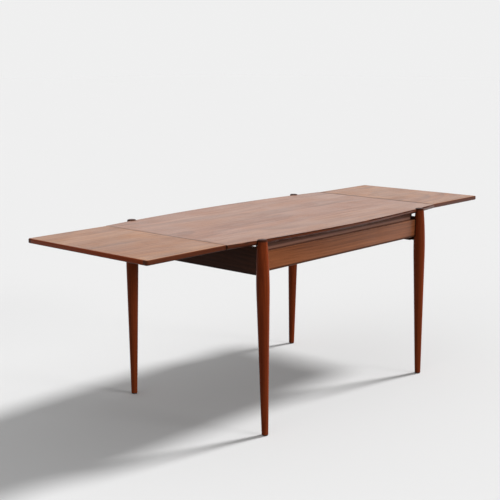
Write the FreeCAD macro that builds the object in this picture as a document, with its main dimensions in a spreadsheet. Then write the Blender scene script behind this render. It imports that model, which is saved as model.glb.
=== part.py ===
"""Extending dining table: turned legs, a floating bowed top and two loose end leaves on pull-out bearers.

Frame: +X along the length (left is -X, right is +X), front is -Y, back is +Y, +Z up, millimetres.
The origin lies on the floor, midway between the four feet.
"""
import FreeCAD
import Part
import Sketcher
import os
import re

# Driving dimensions, in millimetres
SIZES = {
    "leg_height": 740,
    "leg_top_diameter": 36,
    "leg_swell_diameter": 49,
    "leg_swell_drop": 215,
    "leg_foot_diameter": 25.4,
    "leg_top_rounding": 4,
    "leg_spacing": 1026,
    "leg_outset": 5.5,
    "leg_splay": 11,
    "glide_diameter": 22,
    "glide_thickness": 4,
    "glide_stem_diameter": 5,
    "glide_stem_length": 16,
    "board_drop": 3,
    "board_thickness": 18,
    "main_length": 1336,
    "main_width_middle": 752,
    "main_bow": 45,
    "leaf_length": 375,
    "leaf_step": 6,
    "seam_gap": 0.8,
    "lipping_width": 20,
    "upper_arris": 5,
    "lower_arris": 4,
    "main_lower_arris": 9,
    "leaf_corner_radius": 8,
    "notch_clearance": 1,
    "notch_flare": 1.8,
    "long_shadow_gap": 27.5,
    "end_shadow_gap": 16,
    "apron_thickness": 22,
    "long_apron_depth": 75.5,
    "long_apron_setback": 6,
    "end_apron_depth": 103,
    "end_apron_setback": 6,
    "apron_arris": 4,
    "tongue_thickness": 10,
    "tenon_height": 33,
    "tenon_haunch": 8,
    "tenon_past_axis": 4,
    "corner_block_side": 60,
    "corner_block_height": 38,
    "batten_thickness": 20,
    "batten_depth": 58,
    "batten_lap": 10,
    "cross_rail_offset": 225,
    "cross_rail_thickness": 22,
    "cross_rail_depth": 60,
    "centre_rail_width": 40,
    "centre_rail_depth": 40,
    "bearer_width": 26,
    "bearer_depth": 40,
    "bearer_setback": 162,
    "bearer_tail": 56,
    "bearer_offset": 104,
    "bearer_gap": 6,
    "slide_clearance": 0.3,
    "tie_thickness": 18,
    "tie_depth": 32,
    "stop_diameter": 10,
    "stop_drop": 12,
    "stop_bite": 24,
    "stop_gap": 0.5,
    "ledge_length": 120,
    "ledge_width": 70,
    "ledge_thickness": 14,
    "ledge_offset": 205,
    "peg_diameter": 8,
    "peg_drop": 10,
    "peg_bite": 12,
    "peg_setback": 13,
    "peg_clearance": 0.5,
    "screw_diameter": 5,
    "screw_head_diameter": 9.6,
    "screw_head_height": 3,
    "screw_bite": 12,
    "top_screw_setback": 130,
    "ledge_screw_setback": 40,
    "ledge_screw_spread": 40,
    "tie_screw_bite": 36,
}

# Levels and planes that several pieces share, as formulas of the driving dimensions
BOARD_TOP = "(leg_height - board_drop)"
UNDERSIDE = f"({BOARD_TOP} - board_thickness)"
LONG_TOP = f"({UNDERSIDE} - long_shadow_gap)"
END_TOP = f"({UNDERSIDE} - end_shadow_gap)"
SEAM = "(main_length / 2)"
BOW_RADIUS = f"(({SEAM} ^ 2 + main_bow ^ 2) / (2 * main_bow))"
EDGE_AT_LEG = f"(main_width_middle / 2 - {BOW_RADIUS} + sqrt({BOW_RADIUS} ^ 2 - (leg_spacing / 2) ^ 2))"
LEG_TOP_LINE = f"({EDGE_AT_LEG} + leg_outset)"
LEG_FOOT_LINE = f"({LEG_TOP_LINE} + leg_splay)"
LONG_FACE = f"({LEG_TOP_LINE} - long_apron_setback)"
LONG_INNER = f"({LONG_FACE} - apron_thickness)"
END_FACE = "(leg_spacing / 2 - end_apron_setback)"
END_INNER = f"({END_FACE} - apron_thickness)"
LONG_TENON_BOTTOM = f"({LONG_TOP} - tenon_haunch - tenon_height)"
END_TENON_BOTTOM = f"({LONG_TENON_BOTTOM} - tenon_haunch - tenon_height)"
BATTEN_LINE = f"({LONG_INNER} - batten_thickness / 2)"
BATTEN_BOTTOM = f"({UNDERSIDE} - batten_depth)"
BEARER_TOP = f"({UNDERSIDE} - slide_clearance)"
BEARER_BOTTOM = f"({BEARER_TOP} - bearer_depth)"
NOTCH_FLOOR = f"({BEARER_BOTTOM} - slide_clearance)"
LEAF_START = f"({SEAM} + seam_gap)"
LEAF_MIDDLE = f"({LEAF_START} + leaf_length / 2)"
LEAF_WIDTH = "(main_width_middle - 2 * main_bow - 2 * leaf_step)"
PEG_LINE = f"({LEAF_START} + lipping_width + peg_setback)"
LEDGE_BOTTOM = f"({UNDERSIDE} - ledge_thickness)"
STOP_LINE = "(cross_rail_offset - cross_rail_thickness / 2 - stop_gap - stop_diameter / 2)"
BEARER_REACH = f"({LEAF_START} + leaf_length - bearer_setback)"
BEARER_LENGTH = f"({BEARER_REACH} - tie_thickness - {STOP_LINE} + bearer_tail)"
BEARER_OFFSETS = {"left": "(bearer_offset + bearer_width + bearer_gap)", "right": "bearer_offset"}

SIDES = {"left": -1, "right": 1}
ROWS = {"front": -1, "back": 1}
BOTH = (-1, 1)
OUTWARD = 0.5  # least cosine between a face's normal and a direction that it looks in
LEVEL = 1e-6  # most that two heights of one level differ

doc = FreeCAD.newDocument("ExtendingDiningTable")
nodes = []


def fill_sheet():
    sheet = doc.addObject("Spreadsheet::Sheet", "Sizes")
    for row, (alias, value) in enumerate(SIZES.items(), start=1):
        sheet.set(f"A{row}", alias)
        sheet.set(f"B{row}", str(value))
        sheet.setAlias(f"B{row}", alias)
    doc.recompute()
    return sheet


def formula(text):
    """The text with each driving dimension's name turned into a reference to its cell."""
    return re.sub(r"[a-z][a-z_]*", lambda m: f"Sizes.{m[0]}" if m[0] in SIZES else m[0], str(text))


def bind(thing, prop, text):
    thing.setExpression(prop, formula(text))


def place(thing, x, y, z):
    for axis, text in zip("xyz", (x, y, z)):
        bind(thing, f"Placement.Base.{axis}", text)


def box(name, x, y, z, length, width, height):
    """A block centred on x and y that stands on z."""
    block = doc.addObject("Part::Box", name)
    bind(block, "Length", length)
    bind(block, "Width", width)
    bind(block, "Height", height)
    place(block, f"{x} - ({length}) / 2", f"{y} - ({width}) / 2", z)
    return block


def cylinder(name, x, y, z, diameter, height):
    rod = doc.addObject("Part::Cylinder", name)
    bind(rod, "Radius", f"({diameter}) / 2")
    bind(rod, "Height", height)
    place(rod, x, y, z)
    return rod


def fuse(name, pieces):
    joined = doc.addObject("Part::MultiFuse", name)
    joined.Shapes = pieces
    joined.Refine = True
    return joined


def common(name, pieces):
    shared = doc.addObject("Part::MultiCommon", name)
    shared.Shapes = pieces
    return shared


def cut(name, base, tools):
    for index, tool in enumerate(tools):
        step = doc.addObject("Part::Cut", f"{name}_cut{index}")
        step.Base = base
        step.Tool = tool
        base = step
    return base


def group(name, pieces):
    held = doc.addObject("Part::Compound", name)
    held.Links = pieces
    return held


def node(thing, label):
    thing.Label = label
    nodes.append(thing)
    return thing


def origin_plane(body, role):
    return next(plane for plane in body.Origin.OriginFeatures if plane.Role == role)


def sketch_on(body, name, role):
    sketch = body.newObject("Sketcher::SketchObject", name)
    sketch.AttachmentSupport = [(origin_plane(body, role), "")]
    sketch.MapMode = "FlatFace"
    return sketch


def measure(sketch, kind, ends, value, text):
    """A dimension of a sketch, held at the value of a formula."""
    index = sketch.addConstraint(Sketcher.Constraint(kind, *ends, value))
    bind(sketch, f"Constraints[{index}]", text)


def screw(name, x, y, z, length, tilt=None):
    """A countersunk wood screw: its head lies at the given point, its shank points up or along the tilt."""
    head = doc.addObject("Part::Cone", f"{name}_head")
    bind(head, "Radius1", "screw_head_diameter / 2")
    bind(head, "Radius2", "screw_diameter / 2")
    bind(head, "Height", "screw_head_height")
    shank = doc.addObject("Part::Cylinder", f"{name}_shank")
    bind(shank, "Radius", "screw_diameter / 2")
    bind(shank, "Height", length)
    whole = fuse(name, [head, shank])
    if tilt:
        whole.Placement = FreeCAD.Placement(FreeCAD.Vector(), tilt)
    place(whole, x, y, z)
    return whole


def outward_edges(shape, level, directions):
    """Numbers of the level edges of the faces that look in one of the directions."""
    found = []
    for number, edge in enumerate(shape.Edges, start=1):
        bounds = edge.BoundBox
        if abs(bounds.ZMin - level) > LEVEL or abs(bounds.ZMax - level) > LEVEL:
            continue
        for face in shape.ancestorsOfType(edge, Part.Face):
            u0, u1, v0, v1 = face.ParameterRange
            normal = face.normalAt((u0 + u1) / 2, (v0 + v1) / 2)
            if any(normal.dot(way) > OUTWARD for way in directions):
                found.append(number)
                break
    return found


def corner_edges(shape, directions):
    """Numbers of the upright edges where two of the outward faces meet."""
    found = []
    for number, edge in enumerate(shape.Edges, start=1):
        if edge.BoundBox.ZLength < LEVEL:
            continue
        normals = [face.normalAt(0, 0) for face in shape.ancestorsOfType(edge, Part.Face)]
        if all(any(normal.dot(way) > OUTWARD for way in directions) for normal in normals):
            found.append(number)
    return found


def softened(name, base, directions, upper=0, lower=0, corner=0):
    """A board or rail with its outer arrises and corners rounded; a radius of nothing leaves them sharp."""
    doc.recompute()
    shape = base.Shape
    picks = []
    for radius, edges in ((upper, outward_edges(shape, shape.BoundBox.ZMax, directions)),
                          (lower, outward_edges(shape, shape.BoundBox.ZMin, directions)),
                          (corner, corner_edges(shape, directions))):
        if radius:
            picks += [(number, radius, radius) for number in edges]
    rounded = doc.addObject("Part::Fillet", name)
    rounded.Base = base
    rounded.Edges = picks
    return rounded


def long_apron(row, sy):
    """A side rail: full thickness between the end rails, with a tongue and a tenon into each leg."""
    name = f"long_apron_{row}"
    bottom = f"{LONG_TOP} - long_apron_depth"
    tongue_line = f"{sy} * ({LONG_FACE} - tongue_thickness / 2)"
    core = box(f"{name}_core", 0, f"{sy} * ({LONG_FACE} - apron_thickness / 2)", bottom,
               f"2 * {END_INNER}", "apron_thickness", "long_apron_depth")
    tongue = box(f"{name}_tongue", 0, tongue_line, bottom,
                 f"2 * ({END_FACE} - tongue_thickness)", "tongue_thickness", "long_apron_depth")
    tenon = box(f"{name}_tenon", 0, tongue_line, LONG_TENON_BOTTOM,
                "leg_spacing + 2 * tenon_past_axis", "tongue_thickness", "tenon_height")
    plank = fuse(f"{name}_plank", [core, tongue])
    eased = softened(f"{name}_eased", plank, [FreeCAD.Vector(0, sy, 0)], lower=sheet.apron_arris)
    return node(fuse(f"{name}_joined", [eased, tenon]), name)


def bearer_notches(name, x, side, thickness):
    """Cutters for the two open notches that a pair of bearers slides through."""
    offset = BEARER_OFFSETS[side]
    return [box(f"{name}_notch_{row}", x, f"{sy} * {offset}", NOTCH_FLOOR, f"2 * {thickness}",
                "bearer_width + 2 * slide_clearance", "2 * bearer_depth") for row, sy in ROWS.items()]


def end_apron(side, sx, centre_rail):
    """An end rail, deeper than the side rails, notched for the bearers and the centre rail."""
    name = f"end_apron_{side}"
    bottom = f"{END_TOP} - end_apron_depth"
    tongue_line = f"{sx} * ({END_FACE} - tongue_thickness / 2)"
    core_line = f"{sx} * ({END_FACE} - apron_thickness / 2)"
    core = box(f"{name}_core", core_line, 0, bottom,
               "apron_thickness", f"2 * {LONG_INNER}", "end_apron_depth")
    tongue = box(f"{name}_tongue", tongue_line, 0, bottom, "tongue_thickness",
                 f"2 * ({LONG_FACE} - tongue_thickness)", "end_apron_depth")
    tenon = box(f"{name}_tenon", tongue_line, 0, END_TENON_BOTTOM, "tongue_thickness",
                f"2 * ({LEG_TOP_LINE} + tenon_past_axis)", "tenon_height")
    plank = fuse(f"{name}_plank", [core, tongue])
    eased = softened(f"{name}_eased", plank, [FreeCAD.Vector(sx, 0, 0)], lower=sheet.apron_arris)
    joined = fuse(f"{name}_joined", [eased, tenon])
    notches = bearer_notches(name, core_line, side, "apron_thickness")
    return node(cut(name, joined, notches + [centre_rail]), name)


def foot_glide(side, sx, row, sy):
    """A nylon disc with a short stem, pressed up into the foot of a leg."""
    name = f"foot_glide_{side}_{row}"
    x = f"{sx} * leg_spacing / 2"
    y = f"{sy} * {LEG_FOOT_LINE}"
    disc = cylinder(f"{name}_disc", x, y, 0, "glide_diameter", "glide_thickness")
    stem = cylinder(f"{name}_stem", x, y, 0, "glide_stem_diameter", "glide_stem_length")
    return node(fuse(f"{name}_joined", [disc, stem]), name)


def turned_leg(name, sx, sy):
    """The turning: a straight taper that runs smoothly into a long swell, with a rounded top."""
    body = doc.addObject("PartDesign::Body", f"{name}_turning")
    sketch = sketch_on(body, f"{name}_profile", "XZ_Plane")
    foot = sheet.leg_foot_diameter / 2
    swell = sheet.leg_swell_diameter / 2
    top = sheet.leg_top_diameter / 2
    rounding = sheet.leg_top_rounding
    shoulder = sheet.leg_height - rounding
    point = FreeCAD.Vector
    low = point(swell, sheet.leg_height - sheet.leg_swell_drop, 0)
    high = point(top, shoulder, 0)
    lean = (swell - foot) / low.y
    rise = high.y - low.y
    bulge = (lean * rise + low.x - high.x) / 4
    middle = (low + high) / 2 + point(bulge, 0, 0)
    centre = point(top - rounding, shoulder, 0)
    diagonal = rounding * 0.5 ** 0.5
    crown = point(top - rounding, sheet.leg_height, 0)
    apex = point(0, sheet.leg_height, 0)
    sketch.addGeometry(Part.LineSegment(point(), point(foot, 0, 0)))
    sketch.addGeometry(Part.LineSegment(point(foot, 0, 0), low))
    sketch.addGeometry(Part.Arc(low, middle, high))
    sketch.addGeometry(Part.Arc(high, centre + point(diagonal, diagonal, 0), crown))
    sketch.addGeometry(Part.LineSegment(crown, apex))
    sketch.addGeometry(Part.LineSegment(apex, point()))
    base, taper, curve, round_over, end, axis = range(6)
    for first, second in ((base, taper), (curve, round_over), (round_over, end), (end, axis), (axis, base)):
        sketch.addConstraint(Sketcher.Constraint("Coincident", first, 2, second, 1))
    sketch.addConstraint(Sketcher.Constraint("Tangent", taper, 2, curve, 1))
    sketch.addConstraint(Sketcher.Constraint("Coincident", base, 1, -1, 1))
    sketch.addConstraint(Sketcher.Constraint("Horizontal", base))
    sketch.addConstraint(Sketcher.Constraint("Vertical", axis))
    sketch.addConstraint(Sketcher.Constraint("Horizontal", round_over, 3, round_over, 1))
    sketch.addConstraint(Sketcher.Constraint("Vertical", round_over, 3, round_over, 2))
    sketch.addConstraint(Sketcher.Constraint("Horizontal", end))
    measure(sketch, "DistanceX", (base, 1, base, 2), foot, "leg_foot_diameter / 2")
    measure(sketch, "DistanceX", (-1, 1, taper, 2), swell, "leg_swell_diameter / 2")
    measure(sketch, "DistanceY", (-1, 1, taper, 2), low.y, "leg_height - leg_swell_drop")
    measure(sketch, "DistanceX", (-1, 1, curve, 2), top, "leg_top_diameter / 2")
    measure(sketch, "DistanceY", (-1, 1, curve, 2), shoulder, "leg_height - leg_top_rounding")
    measure(sketch, "Radius", (round_over,), rounding, "leg_top_rounding")
    turning = body.newObject("PartDesign::Revolution", f"{name}_revolution")
    turning.Profile = sketch
    turning.ReferenceAxis = (sketch, ["V_Axis"])
    turning.Angle = 360
    body.Placement = FreeCAD.Placement(point(), FreeCAD.Rotation(point(1, 0, 0), 1))
    place(body, f"{sx} * leg_spacing / 2", f"{sy} * {LEG_FOOT_LINE}", 0)
    bind(body, "Placement.Rotation.Angle", f"{sy} * asin(leg_splay / leg_height)")
    return body


def leg(side, sx, row, sy, aprons, glide):
    """A leg, cut level at the foot, mortised for two aprons and cut away behind their tongues."""
    name = f"leg_{side}_{row}"
    floor = box(f"{name}_floor", f"{sx} * leg_spacing / 2", f"{sy} * {LEG_FOOT_LINE}", "-leg_foot_diameter",
                "2 * leg_foot_diameter", "2 * leg_foot_diameter", "leg_foot_diameter + glide_thickness")
    behind = box(f"{name}_behind", f"{sx} * ({END_FACE} - tongue_thickness - leg_swell_diameter / 2)",
                 f"{sy} * ({LONG_FACE} - tongue_thickness - leg_swell_diameter / 2)",
                 f"{END_TOP} - end_apron_depth",
                 "leg_swell_diameter", "leg_swell_diameter", "end_apron_depth")
    return node(cut(name, turned_leg(name, sx, sy), [floor, behind, *aprons, glide]), name)


def corner_block(side, sx, row, sy, turn):
    """A three-cornered block glued into the angle of two aprons, under the end of a batten."""
    name = f"corner_block_{side}_{row}"
    body = doc.addObject("PartDesign::Body", f"{name}_body")
    sketch = sketch_on(body, f"{name}_outline", "XY_Plane")
    reach = sheet.corner_block_side
    point = FreeCAD.Vector
    corners = [point(), point(-reach, 0, 0), point(0, -reach, 0)]
    for start, stop in zip(corners, corners[1:] + corners[:1]):
        sketch.addGeometry(Part.LineSegment(start, stop))
    for first, second in ((0, 1), (1, 2), (2, 0)):
        sketch.addConstraint(Sketcher.Constraint("Coincident", first, 2, second, 1))
    sketch.addConstraint(Sketcher.Constraint("Coincident", 0, 1, -1, 1))
    sketch.addConstraint(Sketcher.Constraint("Horizontal", 0))
    sketch.addConstraint(Sketcher.Constraint("Vertical", 2))
    measure(sketch, "DistanceX", (0, 2, 0, 1), reach, "corner_block_side")
    measure(sketch, "DistanceY", (2, 1, 2, 2), reach, "corner_block_side")
    pad = body.newObject("PartDesign::Pad", f"{name}_pad")
    pad.Profile = sketch
    bind(pad, "Length", "corner_block_height")
    body.Placement = FreeCAD.Placement(point(), FreeCAD.Rotation(point(0, 0, 1), turn))
    place(body, f"{sx} * {END_INNER}", f"{sy} * {LONG_INNER}", f"{BATTEN_BOTTOM} - corner_block_height")
    return node(body, name)


def bow_disc(name, sy, inset):
    """A wide disc whose rim is the bowed line of one long side, set in by the inset."""
    return cylinder(name, 0, f"{-sy} * ({BOW_RADIUS} - main_width_middle / 2)", UNDERSIDE,
                    f"2 * ({BOW_RADIUS} - {inset})", "board_thickness")


def leg_notch(name, sx, sy):
    """The room that the edge of the main top leaves round a leg, a little wider below, as the leg is."""
    room = doc.addObject("Part::Cone", name)
    bind(room, "Radius1", "leg_top_diameter / 2 + notch_clearance + notch_flare")
    bind(room, "Radius2", "leg_top_diameter / 2 + notch_clearance")
    bind(room, "Height", "board_thickness")
    place(room, f"{sx} * leg_spacing / 2", f"{sy} * {LEG_TOP_LINE}", UNDERSIDE)
    return room


def main_top(screws):
    """The fixed middle of the tabletop: a veneered panel framed by four solid lippings."""
    field = {row: bow_disc(f"main_field_{row}", sy, "lipping_width") for row, sy in ROWS.items()}
    blank = box("main_panel_blank", 0, 0, UNDERSIDE, "main_length - 2 * lipping_width", "main_width_middle",
                "board_thickness")
    panel = common("main_panel_bowed", [blank, *field.values()])
    node(cut("main_panel", panel, screws), "main_panel")
    for side, sx in SIDES.items():
        strip = box(f"main_lipping_{side}_blank", f"{sx} * ({SEAM} - lipping_width / 2)", 0, UNDERSIDE,
                    "lipping_width", "main_width_middle", "board_thickness")
        node(common(f"main_lipping_{side}_bowed", [strip, *field.values()]), f"main_lipping_{side}")
    for row, sy in ROWS.items():
        name = f"main_lipping_{row}"
        depth = "(main_bow + 3 * lipping_width)"
        strip = box(f"{name}_blank", 0, f"{sy} * (main_width_middle / 2 + lipping_width - {depth} / 2)",
                    UNDERSIDE, "main_length", depth, "board_thickness")
        bowed = common(f"{name}_bowed", [strip, bow_disc(f"{name}_rim", sy, 0)])
        square = cut(f"{name}_inside", bowed, [field[row]])
        rounded = softened(f"{name}_rounded", square, [FreeCAD.Vector(0, sy, 0)], upper=sheet.upper_arris,
                           lower=sheet.main_lower_arris)
        notches = [leg_notch(f"{name}_notch_{side}", sx, sy) for side, sx in SIDES.items()]
        node(cut(name, rounded, notches), name)


def leaf(side, sx):
    """A loose end leaf: a veneered panel, four solid lippings and two locating pegs underneath."""
    name = f"leaf_{side}"
    outward = FreeCAD.Vector(sx, 0, 0)
    field_width = f"({LEAF_WIDTH} - 2 * lipping_width)"
    pegs = [cylinder(f"{name}_peg_{row}", f"{sx} * {PEG_LINE}", f"{sy} * ledge_offset",
                     f"{UNDERSIDE} - peg_drop", "peg_diameter", "peg_drop + peg_bite")
            for row, sy in ROWS.items()]
    pair = node(group(f"{name}_peg_pair", pegs), f"{name}_pegs")
    panel = box(f"{name}_blank", f"{sx} * {LEAF_MIDDLE}", 0, UNDERSIDE,
                "leaf_length - 2 * lipping_width", field_width, "board_thickness")
    node(cut(name, panel, [pair]), f"{name}_panel")
    for row, sy in ROWS.items():
        strip = box(f"{name}_strip_{row}", f"{sx} * {LEAF_MIDDLE}",
                    f"{sy} * ({LEAF_WIDTH} - lipping_width) / 2", UNDERSIDE,
                    "leaf_length", "lipping_width", "board_thickness")
        faces = [outward, FreeCAD.Vector(0, sy, 0)]
        rounded = softened(f"{name}_rounded_{row}", strip, faces, upper=sheet.upper_arris,
                           lower=sheet.lower_arris, corner=sheet.leaf_corner_radius)
        node(rounded, f"{name}_lipping_{row}")
    inner = box(f"{name}_strip_inner", f"{sx} * ({LEAF_START} + lipping_width / 2)", 0, UNDERSIDE,
                "lipping_width", field_width, "board_thickness")
    node(inner, f"{name}_lipping_inner")
    outer = box(f"{name}_strip_outer", f"{sx} * ({LEAF_START} + leaf_length - lipping_width / 2)", 0,
                UNDERSIDE, "lipping_width", field_width, "board_thickness")
    rounded = softened(f"{name}_rounded_outer", outer, [outward], upper=sheet.upper_arris,
                       lower=sheet.lower_arris)
    node(rounded, f"{name}_lipping_outer")


def bearers(side, sx):
    """The sliding pair that carries a leaf: two bearers, an end tie, stop pegs and the tie's screws."""
    name = f"bearer_{side}"
    offset = BEARER_OFFSETS[side]
    stops = [cylinder(f"{name}_stop_{row}", f"{sx} * {STOP_LINE}", f"{sy} * {offset}",
                      f"{BEARER_BOTTOM} - stop_drop", "stop_diameter", "stop_drop + stop_bite")
             for row, sy in ROWS.items()]
    stop_pair = node(group(f"{name}_stop_pair", stops), f"{name}_stops")
    inward = FreeCAD.Rotation(FreeCAD.Vector(0, 0, 1), FreeCAD.Vector(-sx, 0, 0))
    screws = [screw(f"{name}_screw_{row}", f"{sx} * {BEARER_REACH}", f"{sy} * {offset}",
                    f"{BEARER_TOP} - tie_depth / 2", "tie_thickness + tie_screw_bite", inward)
              for row, sy in ROWS.items()]
    screw_pair = node(group(f"{name}_screw_pair", screws), f"{name}_screws")
    tie = box(f"{name}_tie_blank", f"{sx} * ({BEARER_REACH} - tie_thickness / 2)", 0,
              f"{BEARER_TOP} - tie_depth", "tie_thickness", f"2 * {offset} + bearer_width", "tie_depth")
    node(cut(f"{name}_tie", tie, [screw_pair]), f"{name}_tie")
    for row, sy in ROWS.items():
        rod = box(f"{name}_{row}_blank", f"{sx} * ({BEARER_REACH} - tie_thickness - {BEARER_LENGTH} / 2)",
                  f"{sy} * {offset}", BEARER_BOTTOM, BEARER_LENGTH, "bearer_width", "bearer_depth")
        node(cut(f"{name}_{row}", rod, [screw_pair, stop_pair]), f"{name}_{row}")


def ledges():
    """Blocks under the two seams: screwed to the main top, drilled for the leaves' pegs."""
    screws = []
    blanks = {}
    for side, sx in SIDES.items():
        for row, sy in ROWS.items():
            name = f"seam_ledge_{side}_{row}"
            block = box(f"{name}_blank", f"{sx} * {SEAM}", f"{sy} * ledge_offset", LEDGE_BOTTOM,
                        "ledge_length", "ledge_width", "ledge_thickness")
            hole = cylinder(f"{name}_hole", f"{sx} * {PEG_LINE}", f"{sy} * ledge_offset", LEDGE_BOTTOM,
                            "peg_diameter + 2 * peg_clearance", "ledge_thickness")
            blanks[name] = (block, hole)
            screws += [screw(f"{name}_screw_{number}", f"{sx} * ({SEAM} - ledge_screw_setback)",
                             f"{sy} * ledge_offset + {way} * ledge_screw_spread / 2",
                             LEDGE_BOTTOM, "ledge_thickness + screw_bite")
                       for number, way in enumerate(BOTH)]
    held = node(group("ledge_screw_group", screws), "ledge_screws")
    for name, (block, hole) in blanks.items():
        node(cut(name, block, [hole, held]), name)
    return held


def battens():
    """Strips inside the side rails, lapped over the end rails, that carry the main top clear of both."""
    steps = ("-1", "-1 / 3", "1 / 3", "1")
    screws = [screw(f"top_screw_{row}_{number}", f"{step} * ({END_INNER} - top_screw_setback)",
                    f"{sy} * {BATTEN_LINE}", BATTEN_BOTTOM, "batten_depth + screw_bite")
              for row, sy in ROWS.items() for number, step in enumerate(steps)]
    held = node(group("top_screw_group", screws), "top_screws")
    for row, sy in ROWS.items():
        strip = box(f"top_batten_{row}_blank", 0, f"{sy} * {BATTEN_LINE}", BATTEN_BOTTOM,
                    f"2 * {END_INNER}", "batten_thickness", "batten_depth")
        lap = box(f"top_batten_{row}_lap", 0, f"{sy} * {BATTEN_LINE}", END_TOP,
                  f"2 * ({END_INNER} + batten_lap)", "batten_thickness", "end_shadow_gap")
        joined = fuse(f"top_batten_{row}_joined", [strip, lap])
        node(cut(f"top_batten_{row}", joined, [held]), f"top_batten_{row}")
    return held


def cross_rail(side, sx, centre_rail):
    """A rail between the battens that guides the inner ends of one pair of bearers."""
    name = f"cross_rail_{side}"
    x = f"{sx} * cross_rail_offset"
    rail = box(f"{name}_blank", x, 0, f"{UNDERSIDE} - cross_rail_depth", "cross_rail_thickness",
               f"2 * ({LONG_INNER} - batten_thickness)", "cross_rail_depth")
    notches = bearer_notches(name, x, side, "cross_rail_thickness")
    return node(cut(name, rail, notches + [centre_rail]), name)


def frame():
    """Legs, glides, aprons, corner blocks and the rails inside."""
    centre = node(box("centre_rail_bar", 0, 0, f"{UNDERSIDE} - centre_rail_depth", f"2 * {END_FACE}",
                      "centre_rail_width", "centre_rail_depth"), "centre_rail")
    long_aprons = {row: long_apron(row, sy) for row, sy in ROWS.items()}
    end_aprons = {side: end_apron(side, sx, centre) for side, sx in SIDES.items()}
    turns = {("right", "back"): 0, ("left", "back"): 90, ("left", "front"): 180, ("right", "front"): 270}
    for side, sx in SIDES.items():
        cross_rail(side, sx, centre)
        for row, sy in ROWS.items():
            glide = foot_glide(side, sx, row, sy)
            leg(side, sx, row, sy, [long_aprons[row], end_aprons[side]], glide)
            corner_block(side, sx, row, sy, turns[side, row])


def write_parts():
    """Every piece is tested before the first file is written."""
    doc.recompute()
    failed = [thing.Label for thing in doc.Objects if {"Invalid", "Error"} & set(thing.State)]
    failed += [thing.Label for thing in nodes if thing.Shape.isNull() or not thing.Shape.isValid()]
    failed += [thing.Label for thing in nodes if not thing.Shape.Solids]
    if failed:
        raise RuntimeError(f"Pieces that failed: {failed}")
    os.makedirs("parts", exist_ok=True)
    for thing in nodes:
        thing.Shape.exportStep(f"parts/{thing.Label}.step")


sheet = fill_sheet()
frame()
main_top([battens(), ledges()])
for leaf_side, leaf_sign in SIDES.items():
    leaf(leaf_side, leaf_sign)
    bearers(leaf_side, leaf_sign)
write_parts()
print(f"{len(nodes)} pieces written")
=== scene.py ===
import math
from functools import partial

import bpy
from mathutils import Matrix, Vector


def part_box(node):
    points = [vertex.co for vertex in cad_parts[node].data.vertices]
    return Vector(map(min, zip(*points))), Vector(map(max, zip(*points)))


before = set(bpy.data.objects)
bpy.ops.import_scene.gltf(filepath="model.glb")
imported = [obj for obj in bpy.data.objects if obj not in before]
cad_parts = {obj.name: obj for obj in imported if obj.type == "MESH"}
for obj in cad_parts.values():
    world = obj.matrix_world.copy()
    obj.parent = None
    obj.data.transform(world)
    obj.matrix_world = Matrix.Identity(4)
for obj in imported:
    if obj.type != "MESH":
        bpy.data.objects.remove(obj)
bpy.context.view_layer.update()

# Extending dining table in oiled teak: the finishes of its pieces, a pale floor, soft light and the view.

SIDES = ("left", "right")
ENDS = ("front", "back")
ORIGIN = (0.0, 0.0, 0.0)
WHITE = (1.0, 1.0, 1.0, 1.0)

# Turns, in degrees, that lay a piece's grain along the first axis and its face in the first two
ALONG_LENGTH = (0.0, 0.0, 0.0)
ALONG_WIDTH = (0.0, 0.0, -90.0)
ALONG_HEIGHT = (0.0, 90.0, 0.0)
ALONG_LENGTH_UPRIGHT = (90.0, 0.0, 0.0)
ALONG_WIDTH_UPRIGHT = (90.0, 90.0, 0.0)


# Node helpers

# The Mix node's sockets for its factor, first and second, and its output, for numbers and for colours
MIX_VALUE_INPUTS = (0, 2, 3)
MIX_VALUE_OUTPUT = 0
MIX_COLOUR_INPUTS = (0, 6, 7)
MIX_COLOUR_OUTPUT = 2

# What a mask is eased to where it falls along its range
FALLING = (1.0, 0.0)


def put(tree, kind, **settings):
    """Adds a node and sets its own choices."""
    node = tree.nodes.new(kind)
    for name, value in settings.items():
        setattr(node, name, value)
    return node


def feed(tree, socket, value):
    """Links a socket to an output, or sets its number, colour or vector."""
    if isinstance(value, bpy.types.NodeSocket):
        tree.links.new(value, socket)
    else:
        socket.default_value = value


def feed_row(tree, sockets, values):
    """Feeds sockets one after another."""
    for socket, value in zip(sockets, values):
        feed(tree, socket, value)


def calc(tree, operation, *values):
    """One step of arithmetic."""
    node = put(tree, "ShaderNodeMath", operation=operation)
    feed_row(tree, node.inputs, values)
    return node.outputs[0]


def span(tree, value, low, high, to_low=0.0, to_high=1.0):
    """Eases a value from one range to another."""
    node = put(tree, "ShaderNodeMapRange", interpolation_type="SMOOTHSTEP")
    feed_row(tree, node.inputs, (value, low, high, to_low, to_high))
    return node.outputs[0]


def between(tree, value, low, high, soft):
    """One inside a range and zero outside it, with soft ends."""
    rise = span(tree, value, low - soft, low)
    fall = span(tree, value, high, high + soft, *FALLING)
    return calc(tree, "MULTIPLY", rise, fall)


def mix(tree, factor, first, second, blend="MIX"):
    """Mixes two colours."""
    node = put(tree, "ShaderNodeMix", data_type="RGBA", blend_type=blend)
    feed_row(tree, [node.inputs[index] for index in MIX_COLOUR_INPUTS], (factor, first, second))
    return node.outputs[MIX_COLOUR_OUTPUT]


def mix_value(tree, factor, first, second):
    """Mixes two numbers."""
    node = put(tree, "ShaderNodeMix", data_type="FLOAT")
    feed_row(tree, [node.inputs[index] for index in MIX_VALUE_INPUTS], (factor, first, second))
    return node.outputs[MIX_VALUE_OUTPUT]


def parts(tree, vector):
    """The three parts of a place, a normal or a colour."""
    node = put(tree, "ShaderNodeSeparateXYZ")
    feed(tree, node.inputs[0], vector)
    return node.outputs


def joined(tree, *values):
    """A place made from its three parts."""
    node = put(tree, "ShaderNodeCombineXYZ")
    feed_row(tree, node.inputs, values)
    return node.outputs[0]


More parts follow.
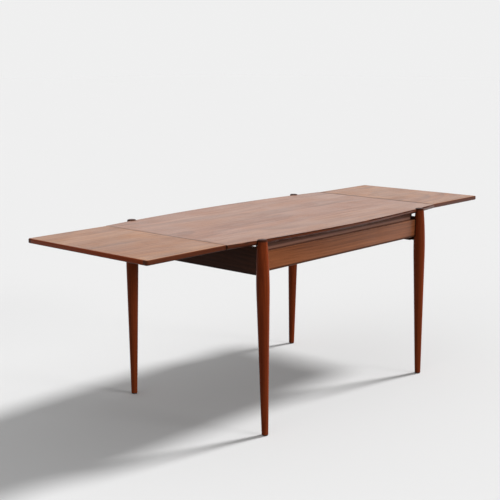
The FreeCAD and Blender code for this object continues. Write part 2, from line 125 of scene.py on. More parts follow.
def mapped(tree, place, **settings):
    """A place that is moved, turned or scaled."""
    node = put(tree, "ShaderNodeMapping")
    feed(tree, node.inputs["Vector"], place)
    for name, value in settings.items():
        feed(tree, node.inputs[name.title()], value)
    return node.outputs[0]


def noise(tree, place, scale=1.0, detail=2.0, roughness=0.5):
    """Noise that is alike in all directions."""
    node = put(tree, "ShaderNodeTexNoise")
    feed(tree, node.inputs["Vector"], place)
    feed(tree, node.inputs["Scale"], scale)
    feed(tree, node.inputs["Detail"], detail)
    feed(tree, node.inputs["Roughness"], roughness)
    return node.outputs["Fac"]


def drawn_noise(tree, place, scale, start=ORIGIN, detail=2.0, roughness=0.5):
    """Noise with its own scale along, across and into the board, drawn out along the grain."""
    drawn_out = mapped(tree, place, scale=scale, location=start)
    return noise(tree, drawn_out, detail=detail, roughness=roughness)


def new_group(name, inputs, outputs):
    """Starts a shared shader group. An input is a name and a number, or a name and None for a place."""
    tree = bpy.data.node_groups.new(name, "ShaderNodeTree")
    for label, value in inputs:
        kind = "NodeSocketVector" if value is None else "NodeSocketFloat"
        socket = tree.interface.new_socket(label, in_out="INPUT", socket_type=kind)
        if value is not None:
            socket.default_value = value
    for label in outputs:
        tree.interface.new_socket(label, in_out="OUTPUT", socket_type="NodeSocketFloat")
    source = put(tree, "NodeGroupInput").outputs
    target = put(tree, "NodeGroupOutput").inputs
    return tree, source, target


def use_group(tree, group, **values):
    """Places a shared group; an input's name is written with underscores for its spaces."""
    node = put(tree, "ShaderNodeGroup", node_tree=group)
    for name, value in values.items():
        feed(tree, node.inputs[name.replace("_", " ").title()], value)
    return node.outputs


# Timber figure, shared by all the woods

# Its patterns: repeats per metre, along, across and into the board where these differ, and their starts
HEART_PATTERN = dict(scale=1.4, detail=1.5)
RING_WOBBLE = dict(scale=(3.0, 22.0, 22.0), detail=3.0)
RING_STRENGTH = dict(scale=(1.1, 9.0, 9.0), start=(3.7, 1.3, 0.0))
BROAD_STREAKS = dict(scale=(1.9, 95.0, 95.0), detail=3.0, roughness=0.6)
FINE_STREAKS = dict(scale=(7.0, 520.0, 520.0), start=(0.3, 0.0, 0.0), detail=3.0, roughness=0.65)
PORE_DASHES = dict(scale=(75.0, 1700.0, 1700.0), detail=1.0)
COLOUR_CLOUDS = dict(scale=(1.3, 6.0, 6.0), start=(9.1, 4.2, 0.0))

# How far apart along the grain the strips' figures lie, in metres, and how heart and rings wander
STRIP_SPREAD = 37.0
HEART_RISE = 3.0
WOBBLE_SHARE = 0.25
# The share of a ring over which its late wood darkens, and over which it ends
LATE_WOOD_RISE = (0.15, 0.8)
LATE_WOOD_FALL = (0.86, 1.0)
RING_STRENGTH_RANGE = (0.3, 0.7)
RING_STRENGTH_SHARES = (0.25, 1.0)
BROAD_STREAK_SHARE = 0.6
FINE_STREAK_SHARE = 0.4
PORE_RANGE = (0.6, 0.72)
STRIP_TONE = 0.35


def heart_distance(tree, source, strip, aside_pick, depth_pick):
    """How far a place lies from the heart of the log, for the strip that it is in."""
    along, across, into = parts(tree, source["Place"])
    middle = calc(tree, "MULTIPLY", calc(tree, "ADD", strip, 0.5), source["Strip Width"])
    off_heart = calc(tree, "MULTIPLY", calc(tree, "SUBTRACT", aside_pick, 0.5), source["Strip Width"])
    beside = calc(tree, "ADD", calc(tree, "SUBTRACT", across, middle), off_heart)

    along_log = calc(tree, "MULTIPLY_ADD", aside_pick, STRIP_SPREAD, along)
    slow = noise(tree, joined(tree, along_log, strip, 0.0), **HEART_PATTERN)
    sway = calc(tree, "MULTIPLY", calc(tree, "SUBTRACT", slow, 0.5), source["Sway"])
    depth = calc(tree, "MULTIPLY", calc(tree, "ADD", depth_pick, 0.5), source["Heart Depth"])
    below = calc(tree, "ADD", calc(tree, "ADD", depth, into), calc(tree, "MULTIPLY", sway, HEART_RISE))
    square = calc(tree, "MULTIPLY_ADD", beside, beside, calc(tree, "MULTIPLY", below, below))
    return calc(tree, "SQRT", square)


def growth_rings(tree, source, distance):
    """The dark late wood of each ring, stronger in some parts of the board than in others."""
    place = source["Place"]
    wobble = calc(tree, "SUBTRACT", drawn_noise(tree, place, **RING_WOBBLE), 0.5)
    reach = calc(tree, "MULTIPLY", source["Sway"], WOBBLE_SHARE)
    radius = calc(tree, "MULTIPLY_ADD", wobble, reach, distance)
    ring = calc(tree, "FRACT", calc(tree, "DIVIDE", radius, source["Ring Width"]))
    rise = span(tree, ring, *LATE_WOOD_RISE)
    late_wood = calc(tree, "MULTIPLY", rise, span(tree, ring, *LATE_WOOD_FALL, *FALLING))
    pattern = drawn_noise(tree, place, **RING_STRENGTH)
    strength = span(tree, pattern, *RING_STRENGTH_RANGE, *RING_STRENGTH_SHARES)
    return calc(tree, "MULTIPLY", late_wood, strength)


def timber_figure_group():
    """Growth rings, fibre streaks, pores and slow colour drift of a sawn board or sheet of veneer.

    The place comes in as along the grain, across it and into the board. The board is laid up from strips,
    each cut at its own distance from the heart of the log, so the rings open into arches in some of them
    and run straight in others.
    """
    tree, source, target = new_group(
        "timber_figure",
        [("Place", None), ("Ring Width", 0.006), ("Strip Width", 0.18), ("Heart Depth", 0.06),
         ("Sway", 0.03)],
        ["Rings", "Streaks", "Pores", "Drift"],
    )
    place = source["Place"]
    across = parts(tree, place)[1]
    strip = calc(tree, "FLOOR", calc(tree, "DIVIDE", across, source["Strip Width"]))
    draw = put(tree, "ShaderNodeTexWhiteNoise", noise_dimensions="1D")
    feed(tree, draw.inputs["W"], strip)
    aside_pick, depth_pick, tone_pick = parts(tree, draw.outputs["Color"])

    distance = heart_distance(tree, source, strip, aside_pick, depth_pick)
    feed(tree, target["Rings"], growth_rings(tree, source, distance))

    broad = calc(tree, "MULTIPLY", drawn_noise(tree, place, **BROAD_STREAKS), BROAD_STREAK_SHARE)
    fine = drawn_noise(tree, place, **FINE_STREAKS)
    feed(tree, target["Streaks"], calc(tree, "MULTIPLY_ADD", fine, FINE_STREAK_SHARE, broad))

    dashes = drawn_noise(tree, place, **PORE_DASHES)
    feed(tree, target["Pores"], span(tree, dashes, *PORE_RANGE))

    cloud = drawn_noise(tree, place, **COLOUR_CLOUDS)
    tone = calc(tree, "SUBTRACT", tone_pick, 0.5)
    feed(tree, target["Drift"], calc(tree, "MULTIPLY_ADD", tone, STRIP_TONE, cloud))
    return tree


# Wear, dust, polish and glue lines, shared by the finishes

EDGE_SAMPLES = 6
# How far a rounded edge's normal agrees with its face's, where wear starts and where it is full
EDGE_TURN = (0.99, 0.82)
WEAR_PATCHES = dict(scale=38.0, detail=4.0, roughness=0.6)
WEAR_RANGE = (0.35, 0.65)

HOLLOW_SAMPLES = 8
# How closed in a place is, where the painted shade and dust start and where they are full
HOLLOW_RANGE = (0.15, 0.5)
DUST_PATCHES = dict(scale=60.0, detail=3.0)
DUST_RANGE = (0.2, 0.7)
DUST_SHARES = (0.5, 1.0)

WIPED_PATCHES = dict(scale=(5.0, 9.0, 9.0), detail=4.0, roughness=0.6)
WIPED_RANGE = (0.3, 0.75)
RUB_LINES = dict(scale=(14.0, 900.0, 900.0), start=(2.0, 5.0, 0.0), detail=1.0)
RUB_RANGE = (0.69, 0.74)


def edge_wear_group():
    """Where an edge has been rubbed pale, broken up so that it comes and goes along the edge."""
    tree, source, target = new_group("edge_wear", [("Place", None), ("Reach", 0.0025)], ["Mask"])
    rounded = put(tree, "ShaderNodeBevel", samples=EDGE_SAMPLES)
    feed(tree, rounded.inputs["Radius"], source["Reach"])
    flat = put(tree, "ShaderNodeNewGeometry").outputs["Normal"]
    turn = put(tree, "ShaderNodeVectorMath", operation="DOT_PRODUCT")
    feed_row(tree, turn.inputs, (rounded.outputs[0], flat))
    edge = span(tree, turn.outputs["Value"], *EDGE_TURN)
    broken = span(tree, noise(tree, source["Place"], **WEAR_PATCHES), *WEAR_RANGE)
    feed(tree, target["Mask"], calc(tree, "MULTIPLY", edge, broken))
    return tree


def corner_shade_group():
    """Painted shade and dust where one piece meets another, darker where the place is more closed in."""
    tree, source, target = new_group("corner_shade", [("Place", None), ("Reach", 0.012)], ["Mask"])
    hollow = put(tree, "ShaderNodeAmbientOcclusion", samples=HOLLOW_SAMPLES)
    feed(tree, hollow.inputs["Distance"], source["Reach"])
    closed = calc(tree, "SUBTRACT", 1.0, hollow.outputs["AO"])
    uneven = span(tree, noise(tree, source["Place"], **DUST_PATCHES), *DUST_RANGE, *DUST_SHARES)
    feed(tree, target["Mask"], calc(tree, "MULTIPLY", span(tree, closed, *HOLLOW_RANGE), uneven))
    return tree


def rubbed_polish_group():
    """Patches where the oil has been wiped thinner and fine marks of use, for the gloss."""
    tree, source, target = new_group("rubbed_polish", [("Place", None)], ["Dull", "Marks"])
    patches = drawn_noise(tree, source["Place"], **WIPED_PATCHES)
    feed(tree, target["Dull"], span(tree, patches, *WIPED_RANGE))
    lines = drawn_noise(tree, source["Place"], **RUB_LINES)
    feed(tree, target["Marks"], span(tree, lines, *RUB_RANGE))
    return tree


def joint_line_group():
    """The thin glue line along both sides of a veneered panel, straight or bowed, beside the edging."""
    tree, source, target = new_group(
        "joint_line",
        [("Place", None), ("Half Length", 0.5), ("Half Width", 0.3), ("Bow", 0.0), ("Line Width", 0.0014)],
        ["Mask"],
    )
    along, across, _ = parts(tree, source["Place"])
    share = calc(tree, "DIVIDE", along, source["Half Length"])
    drawn_in = calc(tree, "MULTIPLY", source["Bow"], calc(tree, "MULTIPLY", share, share))
    side = calc(tree, "SUBTRACT", source["Half Width"], drawn_in)
    to_side = calc(tree, "SUBTRACT", side, calc(tree, "ABSOLUTE", across))
    feed(tree, target["Mask"], span(tree, to_side, 0.0, source["Line Width"], *FALLING))
    return tree


TIMBER_FIGURE = timber_figure_group()
EDGE_WEAR = edge_wear_group()
CORNER_SHADE = corner_shade_group()
RUBBED_POLISH = rubbed_polish_group()
JOINT_LINE = joint_line_group()


# Finishes

# Woods: both ends of the grain's colour, the tint that drifts through it, and the figure's sizes in metres
VENEER = dict(
    dark=(0.115, 0.037, 0.018), light=(0.442, 0.210, 0.118), tint=(0.90, 0.80, 0.74),
    ring_width=0.009, strip_width=0.178, heart_depth=0.12, sway=0.012,
    ring_share=0.28, streak_share=0.6, start=ORIGIN,
)
LEAF_VENEER = dict(
    VENEER, dark=(0.125, 0.040, 0.013), light=(0.480, 0.208, 0.080), tint=(0.80, 0.71, 0.64),
    strip_width=0.21, heart_depth=0.07, sway=0.03, ring_share=0.3, start=(1.3, 0.05, 0.0),
)
RAIL_TEAK = dict(
    dark=(0.084, 0.022, 0.007), light=(0.345, 0.120, 0.047), tint=(0.96, 0.82, 0.72),
    ring_width=0.007, strip_width=0.4, heart_depth=0.1, sway=0.02,
    ring_share=0.3, streak_share=0.6, start=ORIGIN,
)
# A darker copy of the rail teak for the end rails: painted shade, as they sit under the leaves
SHADED_END_RAIL_TEAK = dict(RAIL_TEAK, dark=(0.024, 0.007, 0.003), light=(0.078, 0.025, 0.011))
STRIP_TEAK = dict(RAIL_TEAK, dark=(0.235, 0.112, 0.078), light=(0.345, 0.185, 0.138))
EDGE_TEAK = dict(
    dark=(0.050, 0.013, 0.006), light=(0.135, 0.040, 0.018), tint=(0.95, 0.8, 0.7),
    ring_width=0.004, strip_width=0.5, heart_depth=0.4, sway=0.03,
    ring_share=0.35, streak_share=0.5, start=ORIGIN,
)
END_EDGE_TEAK = dict(EDGE_TEAK, dark=(0.165, 0.021, 0.005), light=(0.350, 0.070, 0.015))
LEG_TEAK = dict(
    dark=(0.075, 0.0125, 0.004), light=(0.299, 0.0640, 0.0175), tint=(0.95, 0.75, 0.62),
    ring_width=0.006, strip_width=0.4, heart_depth=0.1, sway=0.015,
    ring_share=0.4, streak_share=0.5, start=ORIGIN,
)
BEECH = dict(
    dark=(0.42, 0.25, 0.13), light=(0.60, 0.41, 0.25), tint=(0.95, 0.86, 0.74),
    ring_width=0.004, strip_width=0.5, heart_depth=0.3, sway=0.03,
    ring_share=0.3, streak_share=0.3, start=ORIGIN,
)

# Which part of the figure's range shows, and how dark its pores are
STREAK_RANGE = (0.3, 0.7)
DRIFT_RANGE = (0.25, 0.8)
PORE_DEPTH = 0.45

# Age: pale wood rubbed bare along the edges, and painted shade and dust in the corners
WORN_TEAK = (0.40, 0.20, 0.11, 1.0)
WEAR_SHARE = 0.3
# Colour and depth of the painted shade and dust in the corners
DUST_AND_SHADE_COLOUR = (0.030, 0.014, 0.008, 1.0)
DUST_AND_SHADE_DEPTH = 0.75
STRIP_DUST_AND_SHADE_DEPTH = 0.15

# Dark lines, with their widths, depths and heights in metres; the seams are the left and the right one.
# The seam lines and the bands are painted shade; the glue lines and the end grain are the wood's own.
LINE_SHADE = (0.028, 0.010, 0.006, 1.0)
LINE_STRENGTH = 0.9
MAIN_LINE_WIDTH = 0.0015
LEAF_LINE_WIDTH = 0.0045
# The seam lines are painted shade, for the shadow in the gap between leaf and main top
SEAM_WIDTHS = (0.0043, 0.0090)
SEAM_RANGE = (0.25, 1.0)
END_GRAIN_START = 0.012
END_GRAIN_FULL = 0.004
# Bands of painted shade along the rails' lower edges and under the board on the strips
RAIL_BAND = 0.011
STRIP_BAND = 0.022
BAND_FADE_START = 0.6
BAND_DEPTH = 0.8

# Tilts: the upward part of a surface's normal, from -1 on an underside to 1 on a flat top
FLAT_TILT = (0.86, 0.985)
ROUNDING_TILT = (0.35, 0.92)
ROUNDING_SOFT = 0.06
# Painted shade on the rounded upper edge of the main side edging
UPPER_RIM_TILT = (0.55, 0.8)
UPPER_RIM_DEPTH = 0.9
# Painted shade on the lower arrises, which face down
LOWER_ARRIS_TILT = (-0.9, -0.3)
LOWER_ARRIS_DEPTH = 0.6
ARRIS_SOFT = 0.08

# Polish: the coat of oil, and the lean at which a face starts to shine and at which it shines fully
FACE_COAT = 0.02
OIL_COAT = 0.5
TOP_COAT = 0.62
LEAF_COAT = 0.55
EDGE_COAT = 0.9
LEG_COAT = 1.0
RAIL_COAT = 0.65
OIL_SHINE = (0.33, 0.52)
LEG_SHINE = (0.55, 0.97)
RAIL_SHINE = (0.345, 0.45)
WIPED_COAT = 0.8
OIL_COAT_ROUGHNESS = 0.25
LEG_COAT_ROUGHNESS = 0.15
SPECULAR = 0.07

# Roughness of the wood itself, and what patches, pores and rub marks add to it
OILED_ROUGHNESS = 0.42
BEECH_ROUGHNESS = 0.55
WIPED_ROUGHNESS = 0.12
PORE_ROUGHNESS = 0.18
RUB_ROUGHNESS = -0.08

# Relief of the grain
STREAK_HEIGHT = 0.5
PORE_HEIGHT = -0.8
RING_HEIGHT = 0.25
GRAIN_RELIEF = dict(strength=0.35, distance=0.0003)


def new_finish(name):
    """A material with one Principled shader; returns it with its tree and the shader."""
    material = bpy.data.materials.new(name)
    material.use_nodes = True
    tree = material.node_tree
    return material, tree, tree.nodes["Principled BSDF"]


def object_place(tree):
    """The place on a piece, in the table's own coordinates."""
    return put(tree, "ShaderNodeTexCoord").outputs["Object"]


def upward_part(tree):
    """How far a surface faces up."""
    return parts(tree, put(tree, "ShaderNodeTexCoord").outputs["Normal"])[2]


def opaque(colour):
    """A colour with full alpha."""
    return (*colour, 1.0)


def raise_surface(tree, shader, height, strength, distance):
    """Gives a finish its fine relief."""
    bump = put(tree, "ShaderNodeBump")
    feed(tree, bump.inputs["Strength"], strength)
    feed(tree, bump.inputs["Distance"], distance)
    feed(tree, bump.inputs["Height"], height)
    feed(tree, shader.inputs["Normal"], bump.outputs[0])


def wood_grain(tree, place, turn, wood):
    """The figure of a wood laid along a direction: its coordinates, its masks and its colour."""
    grain = mapped(tree, place, rotation=tuple(math.radians(angle) for angle in turn))
    sheet = mapped(tree, grain, location=wood["start"])
    figure = use_group(
        tree, TIMBER_FIGURE, place=sheet, ring_width=wood["ring_width"], strip_width=wood["strip_width"],
        heart_depth=wood["heart_depth"], sway=wood["sway"],
    )
    streaks = calc(tree, "MULTIPLY", span(tree, figure["Streaks"], *STREAK_RANGE), wood["streak_share"])
    depth = calc(tree, "MULTIPLY_ADD", figure["Rings"], wood["ring_share"], streaks)
    dark = opaque(wood["dark"])
    colour = mix(tree, depth, opaque(wood["light"]), dark)
    drift = span(tree, figure["Drift"], *DRIFT_RANGE)
    colour = mix(tree, drift, colour, opaque(wood["tint"]), "MULTIPLY")
    colour = mix(tree, calc(tree, "MULTIPLY", figure["Pores"], PORE_DEPTH), colour, dark)
    return grain, figure, colour


def lower_arris_shade(tree):
    """Painted shade on the lower edges of a piece, which face down."""
    arris = between(tree, upward_part(tree), *LOWER_ARRIS_TILT, ARRIS_SOFT)
    return calc(tree, "MULTIPLY", arris, LOWER_ARRIS_DEPTH)


def upper_rim_shade(tree):
    """Painted shade on the rounded upper edge below the veneer."""
    rim = between(tree, upward_part(tree), *UPPER_RIM_TILT, ARRIS_SOFT)
    return calc(tree, "MULTIPLY", rim, UPPER_RIM_DEPTH)


def painted_seam_shade(tree):
    """Painted shade along the seams of the leaves, for the shadow in the gap; the right one is drawn
    wider, as it lies a little more open.
    """
    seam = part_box("main_lipping_right")[1].x
    along = parts(tree, object_place(tree))[0]
    on_right = calc(tree, "GREATER_THAN", along, 0.0)
    width = mix_value(tree, on_right, *SEAM_WIDTHS)
    away = calc(tree, "ABSOLUTE", calc(tree, "SUBTRACT", calc(tree, "ABSOLUTE", along), seam))
    return span(tree, calc(tree, "DIVIDE", away, width), *SEAM_RANGE, *FALLING)


def leg_end_grain(tree):
    """The dark end grain that shows on the rounded tops of the legs."""
    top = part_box("leg_left_front")[1].z
    height = parts(tree, object_place(tree))[2]
    return span(tree, height, top - END_GRAIN_START, top - END_GRAIN_FULL)


def painted_shade_band(tree, level, height):
    """Painted shade in a band along the lower edge of a rail, or under the board at the top of a strip."""
    away = calc(tree, "ABSOLUTE", calc(tree, "SUBTRACT", parts(tree, object_place(tree))[2], level))
    return span(tree, away, BAND_FADE_START * height, height, BAND_DEPTH, 0.0)


def node_half(name, axis):
    """Half the reach of a node along an axis."""
    low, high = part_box(name)
    return (high[axis] - low[axis]) / 2


def main_glue_line(tree):
    """The glue line along the main panel; its long sides draw in to the length of the end edging."""
    half_width = node_half("main_panel", 1)
    bow = half_width - node_half("main_lipping_left", 1)
    line = use_group(
        tree, JOINT_LINE, place=object_place(tree), half_length=node_half("main_panel", 0),
        half_width=half_width, bow=bow, line_width=MAIN_LINE_WIDTH,
    )
    return line["Mask"]


def leaf_glue_line(tree):
    """The glue line along a leaf's panel; both leaves are read from the middle of the right one."""
    low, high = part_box("leaf_right_panel")
    along, across, into = parts(tree, object_place(tree))
    from_middle = calc(tree, "SUBTRACT", calc(tree, "ABSOLUTE", along), (low.x + high.x) / 2)
    line = use_group(
        tree, JOINT_LINE, place=joined(tree, from_middle, across, into),
        half_length=node_half("leaf_right_panel", 0), half_width=node_half("leaf_right_panel", 1),
        bow=0.0, line_width=LEAF_LINE_WIDTH,
    )
    return line["Mask"]


def dark_lines(tree, marks):
    """Painted shade on the lower edges and a piece's own marks, as one mask."""
    line = lower_arris_shade(tree)
    for mark in marks:
        line = calc(tree, "MAXIMUM", line, mark(tree))
    return calc(tree, "MULTIPLY", line, LINE_STRENGTH)


def veneered(tree, colour, sheen, veneer, coat):
    """Lays veneer over the flat top of an edging; the rounding beside it has no coat."""
    tilt = upward_part(tree)
    flat = span(tree, tilt, *FLAT_TILT)
    colour = mix(tree, flat, colour, wood_grain(tree, object_place(tree), ALONG_LENGTH, veneer)[2])
    sheen = mix_value(tree, flat, sheen, coat)
    rounding = between(tree, tilt, *ROUNDING_TILT, ROUNDING_SOFT)
    return colour, mix_value(tree, rounding, sheen, 0.0)


def aged_and_shaded(tree, place, colour, dust_and_shade):
    """Paints shade and dust where pieces meet, and rubs the finish pale along its edges."""
    shade = use_group(tree, CORNER_SHADE, place=place)["Mask"]
    colour = mix(tree, calc(tree, "MULTIPLY", shade, dust_and_shade), colour, DUST_AND_SHADE_COLOUR)
    wear = use_group(tree, EDGE_WEAR, place=place)["Mask"]
    return mix(tree, calc(tree, "MULTIPLY", wear, WEAR_SHARE), colour, WORN_TEAK)


def oil_polish(tree, shader, grain, figure, sheen, roughness):
    """Duller where the oil is wiped thin and in the pores, brighter along the rub marks."""
    rubbed = use_group(tree, RUBBED_POLISH, place=grain)
    rough = calc(tree, "MULTIPLY_ADD", rubbed["Dull"], WIPED_ROUGHNESS, roughness)
    rough = calc(tree, "MULTIPLY_ADD", figure["Pores"], PORE_ROUGHNESS, rough)
    rough = calc(tree, "MULTIPLY_ADD", rubbed["Marks"], RUB_ROUGHNESS, rough)
    feed(tree, shader.inputs["Roughness"], rough)
    wiped = span(tree, rubbed["Dull"], 0.0, 1.0, 1.0, WIPED_COAT)
    feed(tree, shader.inputs["Coat Weight"], calc(tree, "MULTIPLY", sheen, wiped))


def grain_relief(tree, shader, figure):
    """Open pores, raised streaks and rings."""
    rings = calc(tree, "MULTIPLY", figure["Rings"], RING_HEIGHT)
    pores = calc(tree, "MULTIPLY_ADD", figure["Pores"], PORE_HEIGHT, rings)
    height = calc(tree, "MULTIPLY_ADD", figure["Streaks"], STREAK_HEIGHT, pores)
    raise_surface(tree, shader, height, **GRAIN_RELIEF)


def wood_finish(name, turn, wood, marks=(), veneer=None, veneer_coat=TOP_COAT, roughness=OILED_ROUGHNESS,
                coat=OIL_COAT, coat_roughness=OIL_COAT_ROUGHNESS, shine=OIL_SHINE, dust_and_shade=DUST_AND_SHADE_DEPTH):
    """Oiled wood with its grain along a direction, and the dark lines that marks gives, with painted shade
    on its lower edges and painted shade and dust where pieces meet.

    Where veneer names another wood, the flat upward faces carry that one, with a coat of their own.
    """
    material, tree, shader = new_finish(name)
    place = object_place(tree)
    grain, figure, colour = wood_grain(tree, place, turn, wood)
    lean = put(tree, "ShaderNodeLayerWeight").outputs["Facing"]
    sheen = span(tree, lean, *shine, FACE_COAT, coat)
    if veneer:
        colour, sheen = veneered(tree, colour, sheen, veneer, veneer_coat)
    line = dark_lines(tree, marks)
    colour = mix(tree, line, colour, LINE_SHADE)
    sheen = calc(tree, "MULTIPLY", sheen, calc(tree, "SUBTRACT", 1.0, line))
    feed(tree, shader.inputs["Base Color"], aged_and_shaded(tree, place, colour, dust_and_shade))
    feed(tree, shader.inputs["Specular IOR Level"], SPECULAR)
    feed(tree, shader.inputs["Coat Roughness"], coat_roughness)
    oil_polish(tree, shader, grain, figure, sheen, roughness)
    grain_relief(tree, shader, figure)
    return material


CLEAN_STEEL = (0.60, 0.58, 0.53, 1.0)
TARNISHED_STEEL = (0.30, 0.25, 0.18, 1.0)
TARNISH_PATCHES = dict(scale=260.0, detail=4.0, roughness=0.6)
TARNISH_RANGE = (0.4, 0.75)
STEEL_ROUGHNESS = 0.3
TARNISH_ROUGHNESS = 0.3
TURNING_LINES = dict(scale=(900.0, 900.0, 120.0))
STEEL_RELIEF = dict(strength=0.2, distance=0.0001)


def screw_steel():
    """Plated steel: soft turning marks and a little tarnish."""
    material, tree, shader = new_finish("plated_screw_steel")
    place = object_place(tree)
    tarnish = span(tree, noise(tree, place, **TARNISH_PATCHES), *TARNISH_RANGE)
    feed(tree, shader.inputs["Base Color"], mix(tree, tarnish, CLEAN_STEEL, TARNISHED_STEEL))
    feed(tree, shader.inputs["Metallic"], 1.0)
    rough = calc(tree, "MULTIPLY_ADD", tarnish, TARNISH_ROUGHNESS, STEEL_ROUGHNESS)
    feed(tree, shader.inputs["Roughness"], rough)
    raise_surface(tree, shader, drawn_noise(tree, place, **TURNING_LINES), **STEEL_RELIEF)
    return material


CLEAN_NYLON = (0.020, 0.016, 0.014, 1.0)
SCUFFED_NYLON = (0.075, 0.066, 0.058, 1.0)
SCUFF_PATCHES = dict(scale=(220.0, 220.0, 900.0), detail=4.0, roughness=0.65)
SCUFF_RANGE = (0.5, 0.75)
NYLON_ROUGHNESS = 0.42
SCUFF_ROUGHNESS = 0.25
MOULD_GRAIN = dict(scale=1800.0)
NYLON_RELIEF = dict(strength=0.15, distance=0.0001)


def glide_nylon():
    """Dark moulded nylon with pale scuffs."""
    material, tree, shader = new_finish("dark_glide_nylon")
    place = object_place(tree)
    scuff = span(tree, drawn_noise(tree, place, **SCUFF_PATCHES), *SCUFF_RANGE)
    feed(tree, shader.inputs["Base Color"], mix(tree, scuff, CLEAN_NYLON, SCUFFED_NYLON))
    rough = calc(tree, "MULTIPLY_ADD", scuff, SCUFF_ROUGHNESS, NYLON_ROUGHNESS)
    feed(tree, shader.inputs["Roughness"], rough)
    raise_surface(tree, shader, noise(tree, place, **MOULD_GRAIN), **NYLON_RELIEF)
    return material


# Which piece has which finish

def dress(finish, *names):
    """Gives a finish to CAD nodes."""
    for name in names:
        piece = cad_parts[name]
        if not piece.material_slots:
            piece.data.materials.append(finish)
        for slot in piece.material_slots:
            slot.material = finish


def each(pattern):
    """The nodes that a pattern names, for every side and end that it has a place for."""
    sides = SIDES if "{side}" in pattern else ("",)
    ends = ENDS if "{end}" in pattern else ("",)
    return [pattern.format(side=side, end=end) for side in sides for end in ends]


def dress_top():
    """Veneered panels and their solid edging."""
    main = wood_finish("teak_main_veneer", ALONG_LENGTH, VENEER, [main_glue_line], coat=TOP_COAT)
    dress(main, "main_panel")
    leaf = wood_finish("teak_leaf_veneer", ALONG_LENGTH, LEAF_VENEER, [leaf_glue_line], coat=LEAF_COAT)
    dress(leaf, *each("leaf_{side}_panel"))

    main_side = wood_finish(
        "teak_main_side_edging", ALONG_LENGTH, EDGE_TEAK, [upper_rim_shade], veneer=VENEER, coat=EDGE_COAT,
    )
    dress(main_side, *each("main_lipping_{end}"))
    main_end = wood_finish("teak_main_end_edging", ALONG_WIDTH, END_EDGE_TEAK, [painted_seam_shade], veneer=VENEER)
    dress(main_end, *each("main_lipping_{side}"))

    leaf_top = dict(veneer=LEAF_VENEER, veneer_coat=LEAF_COAT)
    leaf_side = wood_finish("teak_leaf_side_edging", ALONG_LENGTH, EDGE_TEAK, [painted_seam_shade], **leaf_top)
    dress(leaf_side, *each("leaf_{side}_lipping_{end}"))
    leaf_end = wood_finish("teak_leaf_end_edging", ALONG_WIDTH, END_EDGE_TEAK, [painted_seam_shade], **leaf_top)
    dress(leaf_end, *each("leaf_{side}_lipping_inner"), *each("leaf_{side}_lipping_outer"))


def dress_frame():
    """Legs with their glides, rails, and the strips below the top."""
    leg = wood_finish(
        "teak_turned_leg", ALONG_HEIGHT, LEG_TEAK, [leg_end_grain],
        coat=LEG_COAT, coat_roughness=LEG_COAT_ROUGHNESS, shine=LEG_SHINE,
    )
    dress(leg, *each("leg_{side}_{end}"))
    dress(glide_nylon(), *each("foot_glide_{side}_{end}"))

    # Painted shade along the lower edges of the rails
    side_rail_shade_band = partial(painted_shade_band, level=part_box("long_apron_front")[0].z, height=RAIL_BAND)
    side_rail = wood_finish(
        "teak_side_rail", ALONG_LENGTH_UPRIGHT, RAIL_TEAK, [side_rail_shade_band], coat=RAIL_COAT, shine=RAIL_SHINE,
    )
    dress(side_rail, *each("long_apron_{end}"))
    end_rail_shade_band = partial(painted_shade_band, level=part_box("end_apron_left")[0].z, height=RAIL_BAND)
    # Painted shade: the end rails use a darker copy of the rail teak
    end_rail = wood_finish("teak_end_rail", ALONG_WIDTH_UPRIGHT, SHADED_END_RAIL_TEAK, [end_rail_shade_band])
    dress(end_rail, *each("end_apron_{side}"))
    # Painted shade under the board at the top of the strips
    strip_shade_band = partial(painted_shade_band, level=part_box("top_batten_front")[1].z, height=STRIP_BAND)
    strip = wood_finish(
        "teak_top_batten", ALONG_LENGTH_UPRIGHT, STRIP_TEAK, [strip_shade_band], dust_and_shade=STRIP_DUST_AND_SHADE_DEPTH,
    )
    dress(strip, *each("top_batten_{end}"))


def dress_inside():
    """Beech rails, bearers, blocks and pegs, and the screws."""
    lengthwise = wood_finish("beech_lengthwise", ALONG_LENGTH, BEECH, roughness=BEECH_ROUGHNESS)
    dress(lengthwise, "centre_rail", *each("bearer_{side}_{end}"), *each("seam_ledge_{side}_{end}"))
    crosswise = wood_finish("beech_crosswise", ALONG_WIDTH, BEECH, roughness=BEECH_ROUGHNESS)
    dress(crosswise, *each("cross_rail_{side}"), *each("bearer_{side}_tie"))
    upright = wood_finish("beech_upright", ALONG_HEIGHT, BEECH, roughness=BEECH_ROUGHNESS)
    dress(upright, *each("corner_block_{side}_{end}"))
    dress(upright, *each("leaf_{side}_pegs"), *each("bearer_{side}_stops"))
    dress(screw_steel(), "top_screws", "ledge_screws", *each("bearer_{side}_screws"))


# Floor, light and camera

FLOOR_SIZE = 120.0
FLOOR_SEEN = (0.785, 0.785, 0.785, 1.0)
FLOOR_BOUNCE = (0.090, 0.085, 0.080, 1.0)
WORLD_LIGHT = 0.36
BACKDROP_SEEN = 0.866

# Lamps: the direction that each shines from, its strength, and how much of the sky it fills in degrees
LAMPS = {
    "key_light": dict(towards=(0.70, -0.20, 0.69), strength=2.9, spread=11.0),
    "front_fill": dict(towards=(0.30, -0.93, 0.20), strength=1.25, spread=20.0),
    "left_fill": dict(towards=(-0.90, -0.20, 0.42), strength=0.20, spread=40.0),
}

# Image and camera: pixels, the sensor in millimetres, places in metres and angles in degrees
IMAGE_PIXELS = 500
FOCAL_PIXELS = 1023.3
SENSOR_WIDTH = 36.0
CAMERA_PLACE = Vector((-3.2257, -2.7669, 1.3853))
CAMERA_YAW = 42.344
CAMERA_PITCH = -10.670
CAMERA_ROLL = -0.264
CAMERA_REACH = 200.0
UPRIGHT = Vector((0.0, 0.0, 1.0))


def seen_rays(tree):
    """One where floor and backdrop are seen, straight or in a gloss, and zero for the light they give."""
    rays = put(tree, "ShaderNodeLightPath").outputs
    mirrored = calc(tree, "MAXIMUM", rays["Is Glossy Ray"], rays["Is Transmission Ray"])
    return calc(tree, "MAXIMUM", rays["Is Camera Ray"], mirrored)


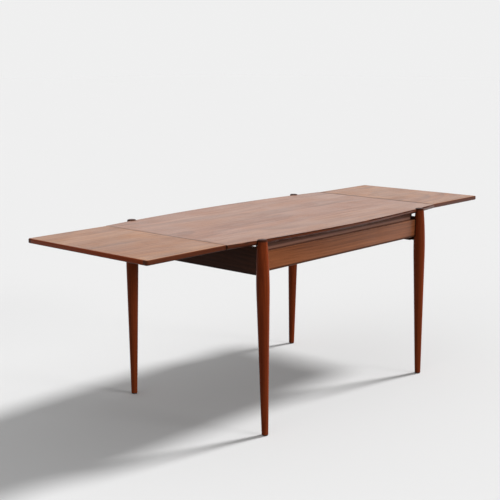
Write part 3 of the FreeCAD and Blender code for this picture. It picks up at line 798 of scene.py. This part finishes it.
def pale_floor():
    """A pale floor that keeps the table's shadow; it throws back only the light of a dark grey one."""
    bpy.ops.object.select_all(action="DESELECT")
    bpy.ops.mesh.primitive_plane_add(size=FLOOR_SIZE)
    floor = bpy.context.object
    floor.name = "floor"
    material = bpy.data.materials.new("pale_floor")
    material.use_nodes = True
    tree = material.node_tree
    tree.nodes.clear()
    seen = put(tree, "ShaderNodeBsdfDiffuse")
    bounce = put(tree, "ShaderNodeBsdfDiffuse")
    feed(tree, seen.inputs["Color"], FLOOR_SEEN)
    feed(tree, bounce.inputs["Color"], FLOOR_BOUNCE)
    choice = put(tree, "ShaderNodeMixShader")
    feed_row(tree, choice.inputs, (seen_rays(tree), bounce.outputs[0], seen.outputs[0]))
    feed(tree, put(tree, "ShaderNodeOutputMaterial").inputs["Surface"], choice.outputs[0])
    floor.data.materials.append(material)


def soft_world():
    """Even soft light from all round; the eye and the gloss see it as a pale backdrop."""
    world = bpy.data.worlds.new("soft_world")
    bpy.context.scene.world = world
    world.use_nodes = True
    tree = world.node_tree
    tree.nodes.clear()
    background = put(tree, "ShaderNodeBackground")
    feed(tree, background.inputs["Color"], WHITE)
    strength = mix_value(tree, seen_rays(tree), WORLD_LIGHT, BACKDROP_SEEN)
    feed(tree, background.inputs["Strength"], strength)
    feed(tree, put(tree, "ShaderNodeOutputWorld").inputs["Surface"], background.outputs[0])


def soft_sun(name, towards, strength, spread):
    """A wide, even light from a direction, which gives no glare."""
    lamp = bpy.data.lights.new(name, "SUN")
    lamp.energy = strength
    lamp.angle = math.radians(spread)
    sun = bpy.data.objects.new(name, lamp)
    sun.rotation_euler = Vector(towards).to_track_quat("Z", "Y").to_euler()
    sun.visible_glossy = False
    bpy.context.scene.collection.objects.link(sun)


def studio_light():
    """The soft world and the three lamps."""
    soft_world()
    for name, settings in LAMPS.items():
        soft_sun(name, **settings)


def photo_camera():
    """The camera at the photographed view."""
    data = bpy.data.cameras.new("camera")
    data.sensor_width = SENSOR_WIDTH
    data.lens = FOCAL_PIXELS * SENSOR_WIDTH / IMAGE_PIXELS
    data.clip_end = CAMERA_REACH
    camera = bpy.data.objects.new("camera", data)
    yaw, pitch, roll = (math.radians(angle) for angle in (CAMERA_YAW, CAMERA_PITCH, CAMERA_ROLL))
    forward = Vector((math.cos(yaw) * math.cos(pitch), math.sin(yaw) * math.cos(pitch), math.sin(pitch)))
    level_right = forward.cross(UPRIGHT).normalized()
    level_up = level_right.cross(forward)
    right = math.cos(roll) * level_right + math.sin(roll) * level_up
    up = right.cross(forward)
    axes = Matrix((right, up, -forward)).transposed()
    camera.matrix_world = Matrix.Translation(CAMERA_PLACE) @ axes.to_4x4()
    bpy.context.scene.collection.objects.link(camera)
    bpy.context.scene.camera = camera


dress_top()
dress_frame()
dress_inside()
pale_floor()
studio_light()
photo_camera()
bpy.context.scene.view_settings.view_transform = "Standard"
